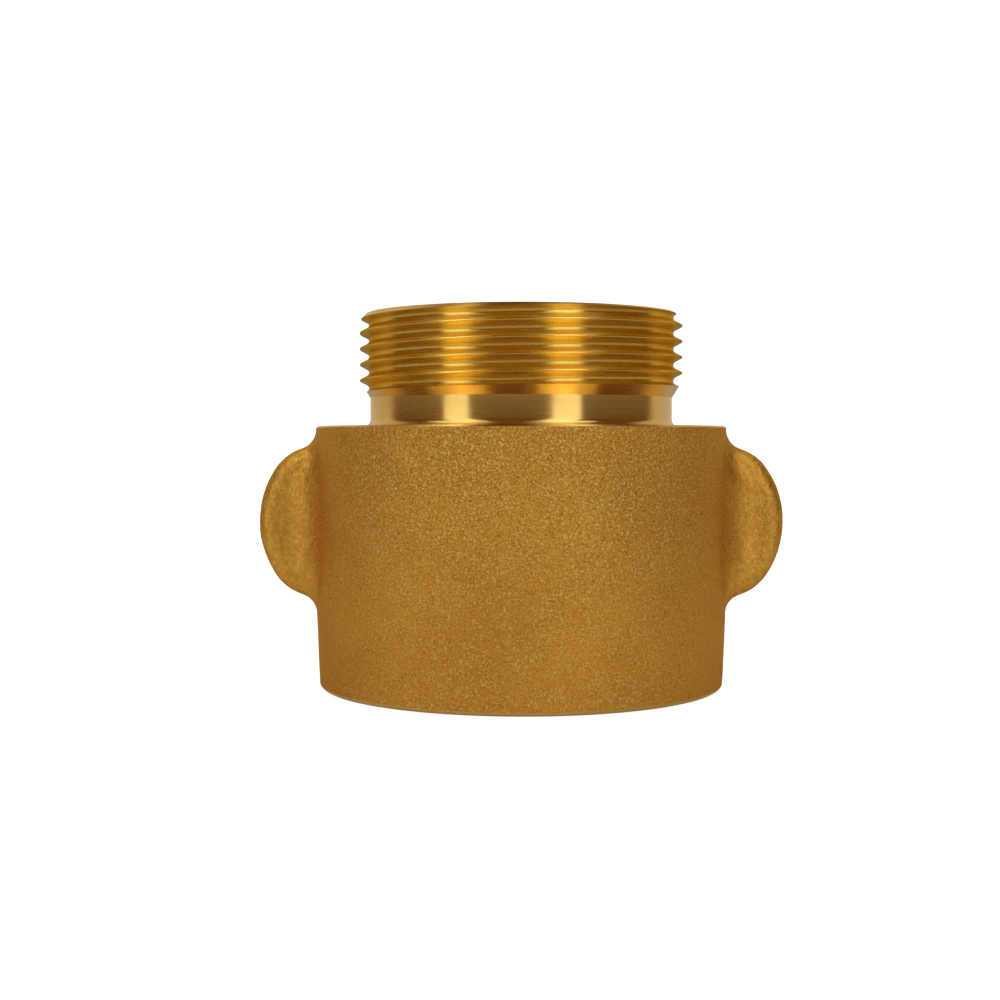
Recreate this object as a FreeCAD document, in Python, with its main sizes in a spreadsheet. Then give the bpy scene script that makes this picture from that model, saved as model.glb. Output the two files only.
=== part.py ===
import FreeCAD, Part
import math
import operator
import os
import Sketcher
from types import SimpleNamespace

# Brass fire hose adapter: a female 1 1/2 in NH hose thread at the bottom, a male 1 1/2 in parallel pipe
# thread at the top, and two ear-shaped rocker lugs for a spanner. The body is one casting, machined at
# both ends. A rubber gasket sits in the recess above the female thread.
#
# Millimetres. +Z runs along the waterway from the female end to the male end. The origin is the centre of
# the bottom face, and the lugs point to -X and +X.

SIZES = {
    # casting, a turned shape whose skirt tapers towards the bottom
    "body_height": 38.42,
    "total_height": 54.95,
    "body_radius": 30.3,
    "skirt_height": 10.6,
    "base_radius": 29.87,
    "base_round": 0.8,
    "shoulder_round": 0.35,
    # rocker lugs, flat ears; the reach is from the waterway axis to the tip
    "lug_height": 24.4,
    "lug_rise": 11.0,
    "lug_reach": 38.5,
    "lug_tip_radius": 14.0,
    "lug_corner_radius": 7.0,
    "lug_root_depth": 3.0,
    "lug_thickness": 11.0,
    "lug_rim_round": 2.2,
    "lug_root_round": 3.0,
    # waterway
    "waterway_radius": 19.05,
    "waterway_chamfer": 0.6,
    # male thread, 1 1/2 in parallel pipe, 11 threads per inch
    "outlet_radius": 23.9,
    "outlet_pitch": 2.309,
    "outlet_depth": 1.33,
    "outlet_flank": 27.5,
    "outlet_root_round": 0.58,
    "outlet_chamfer": 1.0,
    "outlet_groove_start": 40.5,
    "outlet_groove_end": 57.3,
    # plain neck below the male thread, with a cone that ends the thread
    "neck_radius": 22.35,
    "neck_top": 42.6,
    "neck_cone_rise": 1.62,
    "neck_fillet": 1.0,
    # female thread, 1 1/2 in NH, 9 threads per inch, behind a plain mouth
    "mouth_radius": 25.6,
    "mouth_depth": 4.0,
    "mouth_chamfer": 0.6,
    "inlet_radius": 23.6,
    "inlet_pitch": 2.8222,
    "inlet_depth": 1.83,
    "inlet_flank": 30.0,
    "inlet_root_round": 0.4,
    "inlet_top": 21.5,
    "inlet_groove_start": 1.9,
    "inlet_groove_end": 23.6,
    # gasket recess above the female thread
    "recess_radius": 26.2,
    "seat_height": 27.8,
    # gasket
    "gasket_radius": 26.05,
    "gasket_bore": 19.8,
    "gasket_thickness": 4.76,
    "gasket_round": 0.5,
}

LUG_COUNT = 2
ROOT_CHORDS = 3  # a helical face with a curved outline is slow to mesh, so a thread's root is three flats
OVERSHOOT = 0.5  # how far a cutting outline stands clear of the wall that it cuts
FULL_TURN = 360.0
SAME_PLACE = 0.01
H_AXIS = -1
V_AXIS = -2
SKETCH_ORIGIN = (-1, 1)


def joined(symbol, work):
    """A method that combines two sizes in value and in text."""
    def combine(self, other):
        other = other if isinstance(other, Size) else Size(other, str(other))
        return Size(work(self.value, other.value), f"({self.text} {symbol} {other.text})")
    return combine


class Size:
    """A number that remembers the spreadsheet expression it comes from."""

    def __init__(self, value, text):
        self.value = value
        self.text = text

    __add__ = joined("+", operator.add)
    __sub__ = joined("-", operator.sub)
    __mul__ = joined("*", operator.mul)
    __truediv__ = joined("/", operator.truediv)


ZERO = Size(0.0, "0")
CLEAR = Size(OVERSHOOT, str(OVERSHOOT))
RIGHT_ANGLE = Size(90.0, "90")
D = SimpleNamespace(**{alias: Size(value, "sizes." + alias) for alias, value in SIZES.items()})


def make_sheet(doc):
    """Write the driving dimensions into a spreadsheet, one alias a row."""
    sheet = doc.addObject("Spreadsheet::Sheet", "sizes")
    for row, (alias, value) in enumerate(SIZES.items(), start=1):
        sheet.set(f"A{row}", alias)
        sheet.set(f"B{row}", str(value))
        sheet.setAlias(f"B{row}", alias)
    doc.recompute()


def make_body(doc, label):
    body = doc.addObject("PartDesign::Body", label)
    body.Label = label
    return body


def origin_feature(body, role):
    """One of the body's own origin planes or axes."""
    return next(feature for feature in body.Origin.OriginFeatures if feature.Role == role)


def make_sketch(body, name, role):
    """Start a sketch on one of the body's own origin planes."""
    sketch = body.newObject("Sketcher::SketchObject", name)
    sketch.AttachmentSupport = (origin_feature(body, role), [""])
    sketch.MapMode = "FlatFace"
    return sketch


def bind(sketch, kind, *where, size):
    """Add a dimension to a sketch and bind it to its expression."""
    index = sketch.addConstraint(Sketcher.Constraint(kind, *where, size.value))
    sketch.setExpression(f"Constraints[{index}]", size.text)


def pin_down(sketch, point, across=None, height=None):
    """Fix a sketch point's distance from the vertical axis, its height, or both."""
    for kind, axis, size in (("DistanceX", V_AXIS, across), ("DistanceY", H_AXIS, height)):
        if size is ZERO:
            sketch.addConstraint(Sketcher.Constraint("PointOnObject", *point, axis))
        elif size:
            bind(sketch, kind, *SKETCH_ORIGIN, *point, size=size)


def draw_outline(sketch, corners):
    """Draw a closed outline of straight lines. Each corner is its distance across and its height."""
    points = [FreeCAD.Vector(across.value, height.value, 0) for across, height in corners]
    count = len(points)
    for i in range(count):
        sketch.addGeometry(Part.LineSegment(points[i], points[(i + 1) % count]), False)
    for i in range(count):
        sketch.addConstraint(Sketcher.Constraint("Coincident", i, 2, (i + 1) % count, 1))
    for i, (across, height) in enumerate(corners):
        pin_down(sketch, (i, 1), across, height)


def turn(body, kind, name, corners):
    """Revolve an outline round the waterway axis, as a Revolution that adds or a Groove that cuts."""
    sketch = make_sketch(body, name + "_profile", "XZ_Plane")
    draw_outline(sketch, corners)
    feature = body.newObject("PartDesign::" + kind, name)
    feature.Profile = sketch
    feature.ReferenceAxis = (sketch, ["V_Axis"])
    feature.Angle = FULL_TURN
    body.Document.recompute()
    return feature


def edges_where(feature, test):
    """Names of the feature's edges whose middle point passes the test."""
    found = []
    for number, edge in enumerate(feature.Shape.Edges, start=1):
        middle = edge.valueAt((edge.FirstParameter + edge.LastParameter) / 2)
        if test(middle):
            found.append(f"Edge{number}")
    return found


def rim(feature, radius, height):
    """Names of the round edges about the waterway axis at this radius and height."""
    def is_there(middle):
        off_radius = math.hypot(middle.x, middle.y) - radius.value
        return abs(off_radius) < SAME_PLACE and abs(middle.z - height.value) < SAME_PLACE
    return edges_where(feature, is_there)


def dress(kind, name, base, edges, size):
    """Add a Fillet or Chamfer on some edges of the base feature."""
    if not edges:
        raise RuntimeError(f"{name} found no edges")
    body = base.getParentGeoFeatureGroup()
    feature = body.newObject("PartDesign::" + kind, name)
    feature.Base = (base, edges)
    feature.setExpression("Radius" if kind == "Fillet" else "Size", size.text)
    body.Document.recompute()
    return feature


def cast_blank(body):
    """The turned shape of the casting, with the plain stem that the male thread is cut on."""
    return turn(body, "Revolution", "casting", [
        (D.waterway_radius, ZERO),
        (D.base_radius, ZERO),
        (D.body_radius, D.skirt_height),
        (D.body_radius, D.body_height),
        (D.outlet_radius, D.body_height),
        (D.outlet_radius, D.total_height),
        (D.waterway_radius, D.total_height),
    ])


def draw_ear(sketch):
    """An ear of three tangent arcs, lower corner, tip and upper corner, closed inside the casting."""
    up = FreeCAD.Vector(0, 0, 1)
    foot = (D.body_radius - D.lug_root_depth).value
    top, bottom = (D.lug_height + D.lug_rise).value, (D.lug_height - D.lug_rise).value
    tip_radius, corner_radius = D.lug_tip_radius.value, D.lug_corner_radius.value
    tip_centre = FreeCAD.Vector((D.lug_reach - D.lug_tip_radius).value, D.lug_height.value, 0)
    corner_lift = D.lug_rise.value - corner_radius
    swing = math.asin(corner_lift / (tip_radius - corner_radius))
    corner_across = tip_centre.x + corner_lift / math.tan(swing)
    tip = Part.Circle(tip_centre, up, tip_radius)
    upper = Part.Circle(FreeCAD.Vector(corner_across, top - corner_radius, 0), up, corner_radius)
    lower = Part.Circle(FreeCAD.Vector(corner_across, bottom + corner_radius, 0), up, corner_radius)
    square = math.pi / 2
    ends = [FreeCAD.Vector(corner_across, top, 0), FreeCAD.Vector(foot, top, 0),
            FreeCAD.Vector(foot, bottom, 0), FreeCAD.Vector(corner_across, bottom, 0)]
    sketch.addGeometry([
        Part.ArcOfCircle(lower, -square, -swing),
        Part.ArcOfCircle(tip, -swing, swing),
        Part.ArcOfCircle(upper, swing, square),
        *(Part.LineSegment(start, end) for start, end in zip(ends, ends[1:])),
    ], False)
    for first, second in ((0, 1), (1, 2), (2, 3), (5, 0)):
        sketch.addConstraint(Sketcher.Constraint("Tangent", first, 2, second, 1))
    for first, second in ((3, 4), (4, 5)):
        sketch.addConstraint(Sketcher.Constraint("Coincident", first, 2, second, 1))
    for kind, line in (("Horizontal", 3), ("Vertical", 4), ("Horizontal", 5)):
        sketch.addConstraint(Sketcher.Constraint(kind, line))
    for arc, radius in ((0, D.lug_corner_radius), (1, D.lug_tip_radius), (2, D.lug_corner_radius)):
        bind(sketch, "Radius", arc, size=radius)
    pin_down(sketch, (1, 3), D.lug_reach - D.lug_tip_radius, D.lug_height)
    pin_down(sketch, (4, 1), D.body_radius - D.lug_root_depth, D.lug_height + D.lug_rise)
    pin_down(sketch, (5, 1), height=D.lug_height - D.lug_rise)


def add_lug(body):
    """One rocker lug on the +X side."""
    sketch = make_sketch(body, "lug_profile", "XZ_Plane")
    draw_ear(sketch)
    lug = body.newObject("PartDesign::Pad", "lug")
    lug.Profile = sketch
    lug.SideType = "Symmetric"
    lug.setExpression("Length", D.lug_thickness.text)
    body.Document.recompute()
    return lug


def repeat_round(body, feature, count):
    """Repeat a feature evenly about the waterway axis."""
    pattern = body.newObject("PartDesign::PolarPattern", feature.Name + "s")
    pattern.Originals = [feature]
    pattern.Axis = (origin_feature(body, "Z_Axis"), [""])
    pattern.Angle = FULL_TURN
    pattern.Occurrences = count
    body.Tip = pattern
    body.Document.recompute()
    return pattern


def round_lugs(lugs):
    """Round the lugs' rims, then blend the lugs into the body."""
    half_thickness = D.lug_thickness.value / 2

    def is_rim(middle):
        outside = math.hypot(middle.x, middle.y) > D.body_radius.value + SAME_PLACE
        return outside and abs(abs(middle.y) - half_thickness) < SAME_PLACE

    def is_root(middle):
        off_wall = math.hypot(middle.x, middle.y) - D.body_radius.value
        off_level = abs(middle.z - D.lug_height.value)
        return abs(off_wall) < SAME_PLACE and abs(middle.y) > 1 and off_level < D.lug_rise.value + 1

    rounded = dress("Fillet", "lug_rims", lugs, edges_where(lugs, is_rim), D.lug_rim_round)
    return dress("Fillet", "lug_roots", rounded, edges_where(rounded, is_root), D.lug_root_round)


def machine_outlet(body):
    """Turn the plain neck and the cone above it, blend the neck into the shoulder, break the end's edges."""
    beyond = D.outlet_radius + OVERSHOOT
    neck = turn(body, "Groove", "neck", [
        (D.neck_radius, D.body_height),
        (beyond, D.body_height),
        (beyond, D.neck_top + (beyond - D.neck_radius) * D.neck_cone_rise),
        (D.neck_radius, D.neck_top),
    ])
    blend = dress("Fillet", "neck_blend", neck, rim(neck, D.neck_radius, D.body_height), D.neck_fillet)
    crest = rim(blend, D.outlet_radius, D.total_height)
    lead = dress("Chamfer", "outlet_lead", blend, crest, D.outlet_chamfer)
    bore = rim(lead, D.waterway_radius, D.total_height)
    return dress("Chamfer", "waterway_edge", lead, bore, D.waterway_chamfer)


def machine_inlet(body):
    """Bore the plain mouth, the crests of the female thread and the gasket recess."""
    inside = D.waterway_radius - OVERSHOOT
    return turn(body, "Groove", "inlet", [
        (inside, ZERO),
        (D.mouth_radius + D.mouth_chamfer, ZERO),
        (D.mouth_radius, D.mouth_chamfer),
        (D.mouth_radius, D.mouth_depth),
        (D.inlet_radius, D.mouth_depth + D.mouth_radius - D.inlet_radius),
        (D.inlet_radius, D.inlet_top),
        (D.recess_radius, D.inlet_top),
        (D.recess_radius, D.seat_height),
        (inside, D.seat_height),
    ])


def trig(name, angle):
    """A sine, cosine or tangent of a size in degrees, in value and in text."""
    return Size(getattr(math, name)(math.radians(angle.value)), f"{name}({angle.text} * 1 deg)")


def groove_outline(wall, depth, flank, root_round, middle, outward):
    """Corners of a thread groove: two flanks, joined by three chords of a round root."""
    mouth = wall - CLEAR * outward
    centre = wall + (depth - root_round) * outward
    turned = (RIGHT_ANGLE - flank) / ROOT_CHORDS
    mouth_half = root_round / trig("cos", flank) + (CLEAR + depth - root_round) * trig("tan", flank)
    flank_end = centre + root_round * trig("sin", flank) * outward
    flank_half = root_round * trig("cos", flank)
    bottom = centre + root_round * trig("cos", turned) * outward
    bottom_half = root_round * trig("sin", turned)
    side = [(mouth, mouth_half), (flank_end, flank_half), (bottom, bottom_half)]
    lower = [(across, middle - half) for across, half in side]
    upper = [(across, middle + half) for across, half in reversed(side)]
    return lower + upper


def cut_thread(body, end, outward):
    """Cut the right-hand thread of one end. outward is 1 for a groove in a bore and -1 for one in a stem.

    The groove starts and ends at the heights that its middle has on the +X side.
    """
    wall, pitch, depth, flank, root_round, start, stop = (
        getattr(D, f"{end}_{size}")
        for size in ("radius", "pitch", "depth", "flank", "root_round", "groove_start", "groove_end"))
    sketch = make_sketch(body, end + "_thread_profile", "XZ_Plane")
    draw_outline(sketch, groove_outline(wall, depth, flank, root_round, start, outward))
    groove = body.newObject("PartDesign::SubtractiveHelix", end + "_thread")
    groove.Profile = sketch
    groove.ReferenceAxis = (sketch, ["V_Axis"])
    groove.Mode = "pitch-height-angle"
    groove.setExpression("Pitch", pitch.text)
    groove.setExpression("Height", (stop - start).text)
    body.Document.recompute()
    return groove


def make_adapter(doc):
    """The casting, machined at both ends."""
    body = make_body(doc, "adapter_body")
    cast_blank(body)
    roots = round_lugs(repeat_round(body, add_lug(body), LUG_COUNT))
    base = dress("Fillet", "base_edge", roots, rim(roots, D.base_radius, ZERO), D.base_round)
    dress("Fillet", "shoulder_edge", base, rim(base, D.body_radius, D.body_height), D.shoulder_round)
    machine_outlet(body)
    machine_inlet(body)
    cut_thread(body, "inlet", outward=1)
    cut_thread(body, "outlet", outward=-1)
    return body


def make_gasket(doc):
    """A flat rubber ring against the seat, a little smaller than its recess."""
    body = make_body(doc, "seat_gasket")
    underside = D.seat_height - D.gasket_thickness
    ring = turn(body, "Revolution", "ring", [
        (D.gasket_bore, underside),
        (D.gasket_radius, underside),
        (D.gasket_radius, D.seat_height),
        (D.gasket_bore, D.seat_height),
    ])
    corners = [edge for radius in (D.gasket_bore, D.gasket_radius) for height in (underside, D.seat_height)
               for edge in rim(ring, radius, height)]
    dress("Fillet", "ring_edges", ring, corners, D.gasket_round)
    return body


def main():
    doc = FreeCAD.newDocument("hose_adapter")
    make_sheet(doc)
    bodies = [make_adapter(doc), make_gasket(doc)]
    doc.recompute()
    failed = [item.Name for item in doc.Objects if {"Invalid", "Error"} & set(item.State)]
    if failed:
        raise RuntimeError(f"features that failed: {failed}")
    os.makedirs("parts", exist_ok=True)
    for body in bodies:
        shape = body.Shape
        if shape.isNull() or not shape.isValid() or len(shape.Solids) != 1:
            raise RuntimeError(f"{body.Label} is not one valid solid")
        shape.exportStep(f"parts/{body.Label}.step")
        print(f"{body.Label}: {shape.Volume:.0f} mm3, {len(shape.Faces)} faces, {shape.BoundBox}")


if __name__ == "__main__":
    main()
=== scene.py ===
import math

import bpy
import numpy as np
from mathutils import Matrix, Vector, noise


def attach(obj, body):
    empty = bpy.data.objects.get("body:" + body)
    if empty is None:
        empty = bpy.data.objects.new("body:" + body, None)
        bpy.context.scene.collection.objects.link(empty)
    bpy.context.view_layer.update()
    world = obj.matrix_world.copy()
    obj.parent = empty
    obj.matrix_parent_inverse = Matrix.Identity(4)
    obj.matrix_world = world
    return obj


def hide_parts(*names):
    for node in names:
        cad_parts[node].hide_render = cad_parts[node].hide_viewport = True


# Looks of a brass fire hose adapter. The body is made as the real one is: a rough casting is built first,
# and then turned, bored and threaded by solids that stand for the tools. Shapes are built in millimetres
# round the waterway axis and scaled to metres at the end.

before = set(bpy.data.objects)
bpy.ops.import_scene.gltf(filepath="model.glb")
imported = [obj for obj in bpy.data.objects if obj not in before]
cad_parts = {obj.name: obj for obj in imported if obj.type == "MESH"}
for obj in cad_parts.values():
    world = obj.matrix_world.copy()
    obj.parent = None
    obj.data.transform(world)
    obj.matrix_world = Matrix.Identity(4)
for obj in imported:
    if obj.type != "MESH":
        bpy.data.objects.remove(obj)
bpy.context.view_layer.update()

MM = 0.001
SEGMENTS = 192
VOXEL = 0.37
WHITE = (1, 1, 1, 1)

# The CAD's sizes, in millimetres
TOTAL_HEIGHT, SHOULDER = 54.95, 38.42
BODY_RADIUS, BASE_RADIUS, SKIRT_HEIGHT = 30.3, 29.87, 10.6
LUG_HEIGHT, LUG_HALF_THICKNESS, LUG_ROOT_ROUND = 24.4, 5.5, 3.0
NECK_RADIUS, NECK_TOP, NECK_CONE_RISE, NECK_FILLET = 22.35, 42.6, 1.62, 1.0
OUTLET = {"crest": 23.9, "depth": 1.33, "flank": 27.5, "root": 0.58, "pitch": 2.309, "start": 40.5}
INLET = {"crest": 23.6, "depth": 1.83, "flank": 30.0, "root": 0.4, "pitch": 2.8222, "start": 1.9}
OUTLET_CHAMFER = 1.0
WATERWAY_RADIUS, WATERWAY_CHAMFER = 19.05, 0.6
MOUTH_RADIUS, MOUTH_DEPTH, MOUTH_CHAMFER = 25.6, 4.0, 0.6
INLET_TOP, RECESS_RADIUS, SEAT_HEIGHT = 21.5, 26.2, 27.8
GASKET_RADIUS, GASKET_BORE, GASKET_THICKNESS, GASKET_ROUND = 26.05, 19.8, 4.76, 0.5


# ---------------------------------------------------------------- mesh building

def new_object(name, points, faces, material=None):
    mesh = bpy.data.meshes.new(name)
    mesh.from_pydata([tuple(p) for p in points], [], faces)
    mesh.validate()
    mesh.update()
    obj = bpy.data.objects.new(name, mesh)
    bpy.context.scene.collection.objects.link(obj)
    if material:
        mesh.materials.append(material)
    return obj


def arc(across, height, radius, first, last, steps):
    """Points on an arc in the (radius, height) plane, with angles in degrees."""
    return [(across + radius * math.cos(a), height + radius * math.sin(a))
            for a in np.radians(np.linspace(first, last, steps + 1))]


def lathe(name, profile, material, ring=False):
    """Turn a profile of (radius, height) points. It starts and ends on the axis, unless it is a ring's."""
    inner = profile if ring else profile[1:-1]
    count = len(inner)
    turns = 2 * math.pi * np.arange(SEGMENTS) / SEGMENTS
    points = [(r * math.cos(t), r * math.sin(t), z) for t in turns for r, z in inner]
    faces = []
    for i in range(SEGMENTS):
        here, there = i * count, (i + 1) % SEGMENTS * count
        for k in range(count if ring else count - 1):
            after = (k + 1) % count
            faces.append((here + k, there + k, there + after, here + after))
    if not ring:
        low, high = len(points), len(points) + 1
        points += [(0, 0, profile[0][1]), (0, 0, profile[-1][1])]
        for i in range(SEGMENTS):
            here, there = i * count, (i + 1) % SEGMENTS * count
            faces.append((low, there, here))
            faces.append((high, here + count - 1, there + count - 1))
    return new_object(name, points, faces, material)


def helix(name, thread, outward, bottom, top, material):
    """A threaded rod. Outward is -1 for a male thread, and 1 for a tap, whose ridges cut a female one."""
    outline, pitch, start = groove(thread, outward), thread["pitch"], thread["start"]
    per_turn = len(outline)
    first = math.floor((bottom - start) / pitch) - 1
    turns = math.ceil((top - bottom) / pitch) + 2
    rise = [(start + (first + n) * pitch + h, r) for n in range(turns) for h, r in outline]
    count = len(rise)
    points = []
    for i in range(SEGMENTS):
        turn = i / SEGMENTS
        c, s = math.cos(2 * math.pi * turn), math.sin(2 * math.pi * turn)
        points += [(r * c, r * s, z + pitch * turn) for z, r in rise]
    faces = []
    for i in range(SEGMENTS):
        last = i == SEGMENTS - 1
        there = 0 if last else (i + 1) * count
        shift = per_turn if last else 0
        for k in range(count - 1 - shift):
            here = i * count + k
            faces.append((here, there + k + shift, there + k + 1 + shift, here + 1))
    low_loop = [i * count for i in range(SEGMENTS)] + list(range(per_turn, 0, -1))
    high_loop = [i * count + count - 1 for i in range(SEGMENTS - 1)]
    high_loop += [(SEGMENTS - 1) * count + k for k in range(count - 1, count - 2 - per_turn, -1)]
    low, high = len(points), len(points) + 1
    points += [(0, 0, rise[0][0] + pitch / 2), (0, 0, rise[-1][0] + pitch / 2)]
    for loop, tip, flip in ((low_loop, low, True), (high_loop, high, False)):
        for a, b in zip(loop, loop[1:] + loop[:1]):
            faces.append((tip, b, a) if flip else (tip, a, b))
    return new_object(name, points, faces, material)


def groove(thread, outward):
    """One pitch of a thread, as (height, radius) points from the middle of the groove."""
    lean = math.radians(thread["flank"])
    wall, depth, root, pitch = thread["crest"], thread["depth"], thread["root"], thread["pitch"]
    bend = 90 - thread["flank"]
    half = [(h, wall + (depth - root + r) * outward) for r, h in arc(0, 0, root, 0, bend, 5)]
    if outward < 0:
        # the crest is as round as the pitch, the depth and the root leave room for
        rounds = (pitch / 2 * math.cos(lean) - depth * math.sin(lean)) / (1 - math.sin(lean))
        crest = rounds - root
        half += [(pitch / 2 - h, wall - crest + r) for r, h in arc(0, 0, crest, bend, 0, 4)]
    else:
        mouth = root * (1 / math.cos(lean) - math.tan(lean)) + depth * math.tan(lean)
        half += [(pitch / 2, wall - (pitch / 2 - mouth) / math.tan(lean))]
    other = [(pitch - h, r) for h, r in reversed(half[1:-1])]
    return half + other


def boolean(obj, other, operation):
    mod = obj.modifiers.new(operation, "BOOLEAN")
    mod.object = other
    mod.operation = operation
    mod.solver = "MANIFOLD"
    mod.material_mode = "TRANSFER"
    apply_modifiers(obj)
    bpy.data.objects.remove(other)


def apply_modifiers(obj):
    graph = bpy.context.evaluated_depsgraph_get()
    mesh = bpy.data.meshes.new_from_object(obj.evaluated_get(graph))
    obj.modifiers.clear()
    old, obj.data = obj.data, mesh
    bpy.data.meshes.remove(old)
    mesh.name = obj.name


def finish_piece(obj, name, node, sharp):
    """Scale a piece to metres, smooth it up to an angle, and stand it for its CAD node."""
    obj.name = obj.data.name = name
    obj.data.transform(Matrix.Scale(MM, 4))
    obj.data.shade_smooth()
    obj.data.set_sharp_from_angle(angle=math.radians(sharp))
    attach(obj, "root")
    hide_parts(node)


# ---------------------------------------------------------------- materials

class Nodes:
    """A short way to build a material's node tree."""

    def __init__(self, name):
        self.material = bpy.data.materials.new(name)
        self.material.use_nodes = True
        self.tree = self.material.node_tree
        self.shader = self.tree.nodes["Principled BSDF"]
        self.place = self.add("ShaderNodeTexCoord").outputs["Object"]

    def add(self, kind, **settings):
        node = self.tree.nodes.new(kind)
        for key, value in settings.items():
            setattr(node, key, value)
        return node

    def feed(self, socket, value):
        if isinstance(value, bpy.types.NodeSocket):
            self.tree.links.new(value, socket)
        else:
            socket.default_value = value

    def noise(self, scale, detail=2.0, rough=0.5):
        node = self.add("ShaderNodeTexNoise")
        self.feed(node.inputs["Vector"], self.place)
        node.inputs["Scale"].default_value = scale
        node.inputs["Detail"].default_value = detail
        node.inputs["Roughness"].default_value = rough
        return node.outputs["Fac"]

    def line_noise(self, along, scale, detail):
        """Noise that changes along one value only."""
        node = self.add("ShaderNodeTexNoise", noise_dimensions="1D")
        self.feed(node.inputs["W"], along)
        node.inputs["Scale"].default_value = scale
        node.inputs["Detail"].default_value = detail
        return node.outputs["Fac"]

    def cells(self, scale):
        """Distance to the nearest of many scattered points."""
        node = self.add("ShaderNodeTexVoronoi")
        self.feed(node.inputs["Vector"], self.place)
        node.inputs["Scale"].default_value = scale
        return node.outputs["Distance"]

    def span(self, value, low, high, to_low=0.0, to_high=1.0):
        node = self.add("ShaderNodeMapRange", interpolation_type="SMOOTHSTEP")
        self.feed(node.inputs["Value"], value)
        for key, number in (("From Min", low), ("From Max", high), ("To Min", to_low), ("To Max", to_high)):
            node.inputs[key].default_value = number
        return node.outputs["Result"]

    def math(self, operation, one, other=0.0):
        node = self.add("ShaderNodeMath", operation=operation)
        self.feed(node.inputs[0], one)
        self.feed(node.inputs[1], other)
        return node.outputs[0]

    def mix(self, factor, one, other):
        node = self.add("ShaderNodeMix", data_type="RGBA")
        self.feed(node.inputs["Factor"], factor)
        self.feed(node.inputs[6], one)
        self.feed(node.inputs[7], other)
        return node.outputs[2]

    def bump(self, height, distance, strength=1.0, normal=None):
        node = self.add("ShaderNodeBump")
        self.feed(node.inputs["Height"], height)
        node.inputs["Distance"].default_value = distance
        node.inputs["Strength"].default_value = strength
        if normal:
            self.feed(node.inputs["Normal"], normal)
        return node.outputs["Normal"]

    def split(self):
        node = self.add("ShaderNodeSeparateXYZ")
        self.feed(node.inputs[0], self.place)
        return node.outputs

    def off_axis(self):
        """Distance from the waterway axis."""
        flat = self.add("ShaderNodeVectorMath", operation="MULTIPLY")
        self.feed(flat.inputs[0], self.place)
        flat.inputs[1].default_value = (1, 1, 0)
        length = self.add("ShaderNodeVectorMath", operation="LENGTH")
        self.feed(length.inputs[0], flat.outputs[0])
        return length.outputs["Value"]

    def put(self, **sockets):
        for key, value in sockets.items():
            self.feed(self.shader.inputs[key.replace("_", " ")], value)
        return self.material


def cast_brass():
    """Bead-blasted cast brass: a fine grain of painted golden glints and painted shade, stronger near the
    shoulder, weaker towards the sides and mottled on the lugs.
    """
    worn, warm = (0.84, 0.415, 0.058, 1), (0.92, 0.475, 0.070, 1)
    painted_grain_shade, painted_glint, painted_pit_shade = (0.34, 0.14, 0.016, 1), (1.0, 0.80, 0.25, 1), (0.10, 0.04, 0.01, 1)
    lug_dark, lug_light = (0.78, 0.38, 0.05, 1), (1.0, 0.62, 0.11, 1)
    edge = (0.55, 0.5, 0.45, 1)
    n = Nodes("cast_brass")
    x, _, z = n.split()
    side = n.math("ABSOLUTE", x)
    on_lug, off_lug = n.span(side, 0.0298, 0.0308), n.span(side, 0.026, 0.029, 1.0, 0.0)
    # The fade with distance from the middle plane weakens the grain's painted shade, painted glints and bumps
    # towards the sides: the front view's grazing shade, painted into the skin in the part's own coordinates.
    painted_side_fade, upwards = n.span(side, 0.016, 0.031, 1.0, 0.62), n.span(z, 0.008, 0.034, 0.8, 1.15)
    force = n.math("MULTIPLY", painted_side_fade, upwards)
    grain, glint = n.noise(4800, 1.0), n.noise(3500, 2.0, 0.6)
    tone = n.mix(n.span(n.noise(60, 3, 0.6), 0.35, 0.65), worn, warm)
    # The dark grain colour is painted shade in the grain's low spots.
    tone = n.mix(n.math("MULTIPLY", n.span(grain, 0.28, 0.54, 0.66, 0.0), force), tone, painted_grain_shade)
    # The bright golden flecks are painted glints.
    tone = n.mix(n.math("MULTIPLY", n.span(glint, 0.51, 0.66), force), tone, painted_glint)
    mottle = n.mix(n.span(n.noise(1300, 2, 0.6), 0.35, 0.65), lug_dark, lug_light)
    tone = n.mix(n.math("MULTIPLY", on_lug, 0.6), tone, mottle)
    # The dark dots off the lugs are painted shade standing in for casting pits, which the mesh doesn't have.
    tone = n.mix(n.math("MULTIPLY", n.span(n.cells(170), 0.02, 0.05, 0.6, 0.0), off_lug), tone, painted_pit_shade)
    rough = n.span(n.noise(1900), 0.3, 0.7, 0.44, 0.56)
    rough = n.math("SUBTRACT", rough, n.math("MULTIPLY", on_lug, 0.11))
    soft = n.bump(n.noise(900), 0.0001, 0.65)
    skin = n.bump(n.math("MULTIPLY", grain, force), 0.00015, 1.0, soft)
    return n.put(Base_Color=tone, Metallic=1.0, Roughness=rough, Normal=skin, Specular_Tint=edge)


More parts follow.
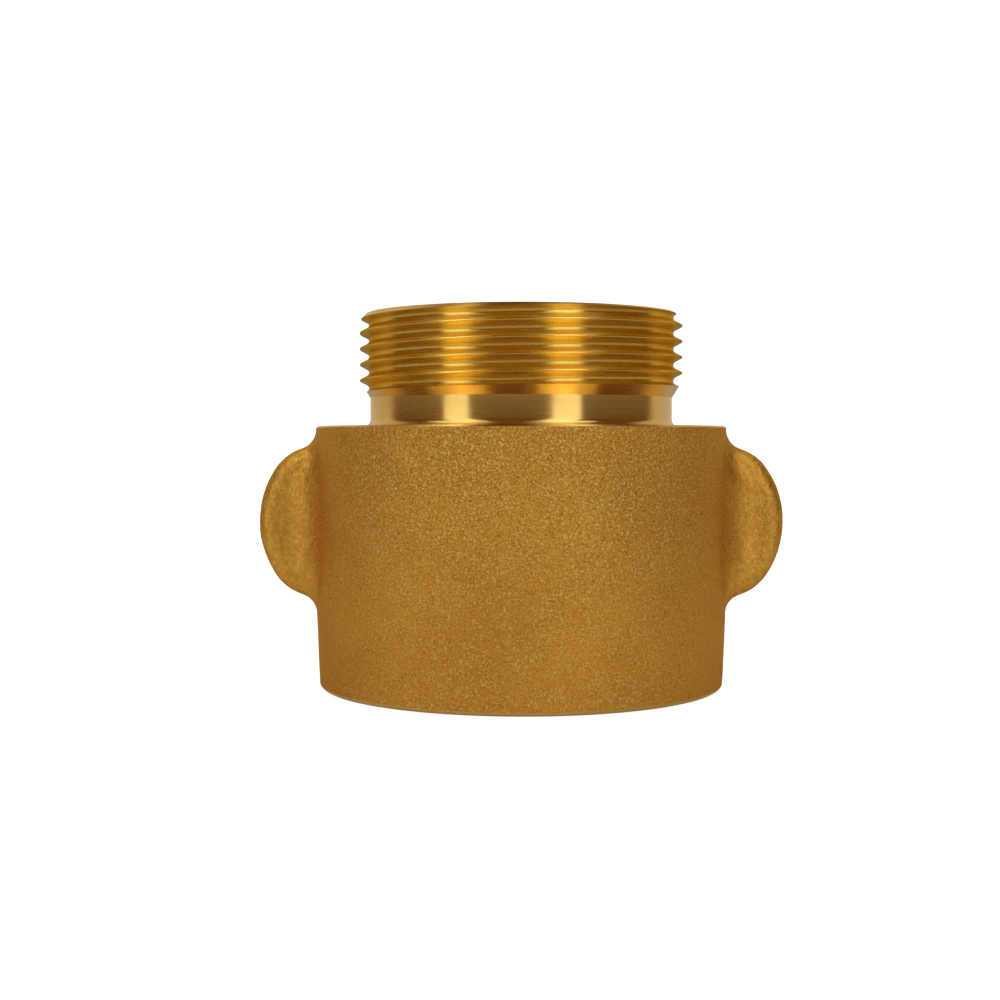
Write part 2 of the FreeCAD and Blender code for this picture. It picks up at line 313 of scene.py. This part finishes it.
def turned_brass(name, clean, aged, polish, mark_depth, spread, edge, pitch=0.0):
    """Brass as a lathe leaves it: fine marks round the axis, or along a thread, spread light across them.

    Polish is the range of roughness. Mark_depth is in metres, and pitch is in millimetres, 0 if turned plain.
    """
    n = Nodes(name)
    x, y, z = n.split()
    turn = n.math("ARCTAN2", x, n.math("MULTIPLY", y, -1.0))
    level = n.math("SUBTRACT", z, n.math("MULTIPLY", turn, pitch * MM / (2 * math.pi)))
    along = n.math("ADD", n.off_axis(), level)
    line, band = n.line_noise(along, 9000, 3), n.line_noise(along, 1400, 2)
    haze = n.noise(90, 4, 0.6)
    tone = n.mix(n.span(haze, 0.35, 0.7), clean, aged)
    tone = n.mix(n.span(band, 0.3, 0.7, 0.0, 0.35), tone, aged)
    rough = n.span(n.math("ADD", haze, line), 0.7, 1.3, *polish)
    marks = n.bump(line, mark_depth, 0.8)
    tangent = n.add("ShaderNodeTangent", direction_type="RADIAL", axis="Z")
    n.put(Anisotropic=spread, Anisotropic_Rotation=0.25, Tangent=tangent.outputs[0], Specular_Tint=edge)
    return n.put(Base_Color=tone, Metallic=1.0, Roughness=rough, Normal=marks)


def cut_thread(name, pitch):
    """Brass inside a thread, where light bounces twice and looks deeper; that deeper colour is painted in as
    a more saturated yellow.
    """
    clean, aged, edge = (0.97, 0.70, 0.15, 1), (0.92, 0.58, 0.11, 1), (0.66, 0.48, 0.25, 1)
    return turned_brass(name, clean, aged, (0.23, 0.31), 0.000006, 0.97, edge, pitch)


def gasket_rubber():
    """Matte black rubber with a little dust on it."""
    black, dusty = (0.018, 0.018, 0.019, 1), (0.055, 0.052, 0.048, 1)
    n = Nodes("gasket_rubber")
    tone = n.mix(n.span(n.noise(160, 4, 0.65), 0.4, 0.75), black, dusty)
    rough = n.span(n.noise(700, 3), 0.3, 0.7, 0.55, 0.8)
    skin = n.bump(n.noise(2600, 3, 0.6), 0.00008, 0.7)
    return n.put(Base_Color=tone, Roughness=rough, Normal=skin)


CAST = cast_brass()
CLEAN_BRASS, AGED_BRASS = (0.90, 0.62, 0.19, 1), (0.84, 0.54, 0.15, 1)
TURNED = turned_brass("turned_brass", CLEAN_BRASS, AGED_BRASS, (0.16, 0.28), 0.000004, 0.9, WHITE)
THREADED = cut_thread("threaded_brass", OUTLET["pitch"])
TAPPED = cut_thread("tapped_brass", INLET["pitch"])
RUBBER = gasket_rubber()


# ---------------------------------------------------------------- the body

def lug_blend(side, face):
    """A rounded web where one face of a lug meets the body, wider at the lug's middle than at its ends.

    It is the points and faces of a closed solid that reaches into the body. Side and face are -1 or 1.
    """
    widest, middle, end, levels, depth = 6.5, 6.0, 9.4, 21, 27.0
    points = []
    for lift in np.linspace(-end, end, levels):
        along = min(1.0, max(0.0, (abs(lift) - middle) / (end - middle)))
        radius = widest - (widest - LUG_ROOT_ROUND) * along * along * (3 - 2 * along)
        centre_y = LUG_HALF_THICKNESS + radius
        centre_x = math.sqrt((BODY_RADIUS + radius) ** 2 - centre_y ** 2)
        inward = -180 + math.degrees(math.atan2(centre_y, centre_x))
        ring = arc(centre_x, centre_y, radius, -90, inward, 12)
        ring += [(depth, centre_y), (depth, 0.0), (centre_x, 0.0)]
        points += [(side * x, face * y, LUG_HEIGHT + lift) for x, y in ring]
    count = len(points) // levels
    faces = [tuple(range(count)), tuple(range(len(points) - 1, len(points) - 1 - count, -1))]
    for level in range(levels - 1):
        for k in range(count):
            low, after = level * count, (k + 1) % count
            faces.append((low + k, low + count + k, low + count + after, low + after))
    if side * face < 0:
        faces = [tuple(reversed(f)) for f in faces]
    return points, faces


def casting():
    """The rough casting: the CAD body's outside, filled, run past both machined ends, remeshed and roughened.

    It stops a little above the shoulder, so that the neck and the threads are cut from clean metal.
    """
    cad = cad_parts["adapter_body"].data
    points = np.empty(len(cad.vertices) * 3, np.float32)
    cad.vertices.foreach_get("co", points)
    points = points.reshape(-1, 3) / MM
    faces = [tuple(p.vertices) for p in cad.polygons]
    taper = (BODY_RADIUS - BASE_RADIUS) / SKIRT_HEIGHT
    over = 1.6
    plug = lathe("plug", [
        (0, -over), (BASE_RADIUS - over * taper, -over), (BODY_RADIUS, SKIRT_HEIGHT),
        (BODY_RADIUS, SHOULDER + over), (0, SHOULDER + over),
    ], None)
    extra = [tuple(v.co) for v in plug.data.vertices]
    parts = [(extra, [tuple(p.vertices) for p in plug.data.polygons])]
    parts += [lug_blend(side, face) for side in (-1, 1) for face in (-1, 1)]
    bpy.data.objects.remove(plug)
    for more_points, more_faces in parts:
        faces += [tuple(v + len(points) for v in face) for face in more_faces]
        points = np.vstack([points, np.array(more_points)])
    obj = new_object("casting", points, faces)
    remesh = obj.modifiers.new("skin", "REMESH")
    remesh.mode = "VOXEL"
    remesh.voxel_size = VOXEL
    apply_modifiers(obj)
    reach, top = 60.0, SHOULDER + over
    mould = lathe("mould", [(0, -reach), (reach, -reach), (reach, top), (0, top)], None)
    boolean(obj, mould, "INTERSECT")
    obj.data.materials.clear()
    obj.data.materials.append(CAST)
    roughen(obj.data)
    return obj


def roughen(mesh):
    """Move the skin by the mould's unevenness. Its waves are stronger on the lugs and its grain is weaker."""
    count = len(mesh.vertices)
    place, normal = np.empty(count * 3, np.float32), np.empty(count * 3, np.float32)
    mesh.vertices.foreach_get("co", place)
    mesh.vertex_normals.foreach_get("vector", normal)
    place, normal = place.reshape(-1, 3), normal.reshape(-1, 3)
    shift = np.empty(count, np.float32)
    for i, p in enumerate(place):
        v = Vector(p)
        on_lug = min(1.0, max(0.0, (abs(v.x) - 29.5) / 1.5))
        wave = 0.035 * noise.noise(v * 0.16) + 0.02 * noise.noise(v * 0.45 + Vector((7, 3, 1)))
        grain = 0.010 * noise.noise(v * 1.15 + Vector((1, 9, 4)))
        shift[i] = wave * (1 + 1.2 * on_lug) + grain * (1 - 0.55 * on_lug)
    mesh.vertices.foreach_set("co", (place + normal * shift[:, None]).ravel())
    mesh.update()


def turning():
    """Everything that the lathe leaves: the base, the shoulder, the neck and the male end."""
    cone_top = NECK_TOP + (OUTLET["crest"] - NECK_RADIUS) * NECK_CONE_RISE
    crest = OUTLET["crest"] + 0.02
    base_round, clear = 0.9, 46.0
    rim = crest - OUTLET_CHAMFER
    profile = [(0, 0)]
    profile += arc(BASE_RADIUS - 0.82, base_round, base_round, -90, -8, 8)
    profile += [(BASE_RADIUS + 0.5, 2.4), (clear, 3.0), (clear, SHOULDER - 1.6)]
    profile += [(BODY_RADIUS + 1.0, SHOULDER - 1.25), (BODY_RADIUS - 0.05, SHOULDER - 0.2)]
    profile += [(BODY_RADIUS - 0.25, SHOULDER)]
    profile += arc(NECK_RADIUS + NECK_FILLET, SHOULDER + NECK_FILLET, NECK_FILLET, 270, 180, 8)
    profile += [(NECK_RADIUS, NECK_TOP), (crest, cone_top), (crest, TOTAL_HEIGHT - OUTLET_CHAMFER)]
    profile += [(rim + 0.15, TOTAL_HEIGHT - 0.15), (rim - 0.02, TOTAL_HEIGHT), (0, TOTAL_HEIGHT)]
    return lathe("turning", profile, TURNED)


def bore():
    """Everything that the boring bar removes, from the mouth to the male end."""
    inlet, ease, past = INLET["crest"], 0.2, 1
    low, high = -past, TOTAL_HEIGHT + past
    return lathe("bore", [
        (0, low), (MOUTH_RADIUS + MOUTH_CHAMFER + past, low), (MOUTH_RADIUS, MOUTH_CHAMFER),
        (MOUTH_RADIUS, MOUTH_DEPTH), (inlet, MOUTH_DEPTH + MOUTH_RADIUS - inlet), (inlet, INLET_TOP),
        (RECESS_RADIUS - ease, INLET_TOP), (RECESS_RADIUS, INLET_TOP + ease),
        (RECESS_RADIUS, SEAT_HEIGHT - ease), (RECESS_RADIUS - ease, SEAT_HEIGHT),
        (WATERWAY_RADIUS + ease, SEAT_HEIGHT), (WATERWAY_RADIUS, SEAT_HEIGHT + ease),
        (WATERWAY_RADIUS, TOTAL_HEIGHT - WATERWAY_CHAMFER),
        (WATERWAY_RADIUS + WATERWAY_CHAMFER + past, high), (0, high),
    ], TURNED)


def adapter_body():
    body = casting()
    wide, low = OUTLET["crest"] + 0.6, 30.0
    stub = lathe("stub", [(0, low), (wide, low), (wide, NECK_TOP), (0, NECK_TOP)], TURNED)
    boolean(body, stub, "UNION")
    rod = helix("rod", OUTLET, -1, NECK_TOP - 2.5, TOTAL_HEIGHT + 1, THREADED)
    boolean(body, rod, "UNION")
    boolean(body, turning(), "INTERSECT")
    boolean(body, bore(), "DIFFERENCE")
    tap = helix("tap", INLET, 1, 1.0, INLET_TOP + 2.0, TAPPED)
    boolean(body, tap, "DIFFERENCE")
    finish_piece(body, "brass_body", "adapter_body", 32)


def seat_gasket():
    low, high = SEAT_HEIGHT - GASKET_THICKNESS, SEAT_HEIGHT - 0.02
    r = GASKET_ROUND
    profile = arc(GASKET_RADIUS - r, low + r, r, -90, 0, 5) + arc(GASKET_RADIUS - r, high - r, r, 0, 90, 5)
    profile += arc(GASKET_BORE + r, high - r, r, 90, 180, 5) + arc(GASKET_BORE + r, low + r, r, 180, 270, 5)
    ring = lathe("gasket", profile, RUBBER, ring=True)
    finish_piece(ring, "rubber_gasket", "seat_gasket", 50)


adapter_body()
seat_gasket()


# ---------------------------------------------------------------- floor, camera and light

def plain_floor():
    """A pale floor that brightens with distance, so that no horizon shows."""
    floor = new_object("floor", [(-2, -2, 0), (2, -2, 0), (2, 2, 0), (-2, 2, 0)], [(0, 1, 2, 3)])
    n = Nodes("pale_floor")
    seen = n.add("ShaderNodeLightPath").outputs["Is Camera Ray"]
    shown = n.math("MULTIPLY", seen, n.span(n.off_axis(), 0.1, 0.7, 0.8, 1.05))
    glow = n.math("ADD", shown, 0.08)
    n.put(Base_Color=(0.68, 0.68, 0.68, 1), Roughness=0.9, Emission_Color=WHITE, Emission_Strength=glow)
    floor.data.materials.append(n.material)
    floor.location.z = -0.00005


def camera():
    pitch_down = 2.15
    data = bpy.data.cameras.new("camera")
    data.lens, data.sensor_width = 57.15, 36.0
    data.clip_start = 0.01
    cam = bpy.data.objects.new("camera", data)
    cam.location = (-0.00312, -0.2368, 0.03633)
    cam.rotation_euler = (math.radians(90 - pitch_down), 0, 0)
    bpy.context.scene.collection.objects.link(cam)
    bpy.context.scene.camera = cam


def softbox(name, azimuth, distance, width, height, lift, power):
    """An area light that faces the part. Azimuth 0 is on the camera's side and grows towards +X."""
    data = bpy.data.lights.new(name, "AREA")
    data.shape, data.size, data.size_y = "RECTANGLE", width, height
    data.energy = power
    obj = bpy.data.objects.new(name, data)
    a = math.radians(azimuth)
    obj.location = (distance * math.sin(a), -distance * math.cos(a), lift)
    aim = Vector((0, 0, 0.03)) - obj.location
    obj.rotation_euler = aim.to_track_quat("-Z", "Y").to_euler()
    obj.visible_camera = False
    bpy.context.scene.collection.objects.link(obj)


def studio():
    """A white sweep behind, a dim warm room in front, two tall softboxes and two high ones."""
    room, backdrop, white_sweep = (0.118, 0.062, 0.027, 1), (0.58, 0.50, 0.40, 1), (1.2, 1.2, 1.2, 1)
    world = bpy.data.worlds.new("studio")
    bpy.context.scene.world = world
    world.use_nodes = True
    tree = world.node_tree
    back = tree.nodes["Background"]
    place = tree.nodes.new("ShaderNodeTexCoord").outputs["Generated"]
    split = tree.nodes.new("ShaderNodeSeparateXYZ")
    tree.links.new(place, split.inputs[0])
    ramp = tree.nodes.new("ShaderNodeMapRange")
    ramp.interpolation_type = "SMOOTHSTEP"
    tree.links.new(split.outputs["Y"], ramp.inputs["Value"])
    for key, number in (("From Min", 0.30), ("From Max", 0.50), ("To Min", 0.0), ("To Max", 1.0)):
        ramp.inputs[key].default_value = number
    blend = tree.nodes.new("ShaderNodeMix")
    blend.data_type = "RGBA"
    tree.links.new(ramp.outputs[0], blend.inputs["Factor"])
    blend.inputs[6].default_value = room
    blend.inputs[7].default_value = backdrop
    seen = tree.nodes.new("ShaderNodeMix")
    seen.data_type = "RGBA"
    path = tree.nodes.new("ShaderNodeLightPath")
    tree.links.new(path.outputs["Is Camera Ray"], seen.inputs["Factor"])
    tree.links.new(blend.outputs[2], seen.inputs[6])
    seen.inputs[7].default_value = white_sweep
    tree.links.new(seen.outputs[2], back.inputs["Color"])
    softbox("left_box", -49.5, 0.9, 0.36, 1.3, 0.45, 1.80)
    softbox("right_box", 33.0, 0.9, 0.40, 1.3, 0.45, 2.05)
    softbox("left_high_box", -77.6, 0.46, 0.36, 0.5, 0.80, 0.80)
    softbox("right_high_box", 57.4, 0.39, 0.40, 0.5, 0.84, 0.92)


plain_floor()
camera()
studio()
scene = bpy.context.scene
scene.view_settings.view_transform = "Standard"
